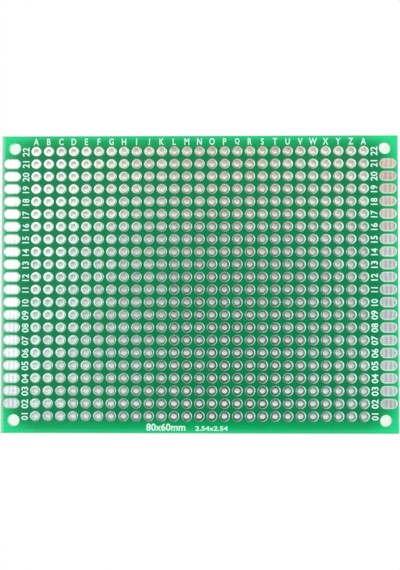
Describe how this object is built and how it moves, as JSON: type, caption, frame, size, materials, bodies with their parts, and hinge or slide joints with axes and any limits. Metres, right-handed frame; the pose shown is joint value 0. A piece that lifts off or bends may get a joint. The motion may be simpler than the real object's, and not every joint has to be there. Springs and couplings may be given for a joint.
{
  "type": "prototype board",
  "caption": "Flat rectangular double-sided prototype board with a grid of plated lead holes, long tinned pads along its short edges and a bare mounting hole in each corner.",
  "frame": {"origin": "centre of the rectangle, on the plane that the lowest pads of the back rest on", "axes": "+X along the long edge, towards the right with the letters upright, +Y along the short edge, towards the lettered row, +Z out of the lettered face"},
  "size_m": [0.08, 0.06, 0.0017],
  "materials": {
    "laminate": "cut glass-epoxy, satin",
    "solder_mask": "glossy green film",
    "tinned_copper": "bright levelled solder",
    "legend_ink": "white printed ink"
  },
  "bodies": {
    "root": {"laminate": "laminate", "solder_mask_front": "solder_mask", "solder_mask_back": "solder_mask", "plated_holes_row_01": "tinned_copper", "plated_holes_row_02": "tinned_copper", "plated_holes_row_03": "tinned_copper", "plated_holes_row_04": "tinned_copper", "plated_holes_row_05": "tinned_copper", "plated_holes_row_06": "tinned_copper", "plated_holes_row_07": "tinned_copper", "plated_holes_row_08": "tinned_copper", "plated_holes_row_09": "tinned_copper", "plated_holes_row_10": "tinned_copper", "plated_holes_row_11": "tinned_copper", "plated_holes_row_12": "tinned_copper", "plated_holes_row_13": "tinned_copper", "plated_holes_row_14": "tinned_copper", "plated_holes_row_15": "tinned_copper", "plated_holes_row_16": "tinned_copper", "plated_holes_row_17": "tinned_copper", "plated_holes_row_18": "tinned_copper", "plated_holes_row_19": "tinned_copper", "plated_holes_row_20": "tinned_copper", "plated_holes_row_21": "tinned_copper", "plated_holes_row_22": "tinned_copper", "edge_pads_left_front": "tinned_copper", "edge_pads_right_front": "tinned_copper", "edge_pads_left_back": "tinned_copper", "edge_pads_right_back": "tinned_copper"}
  },
  "joints": []
}
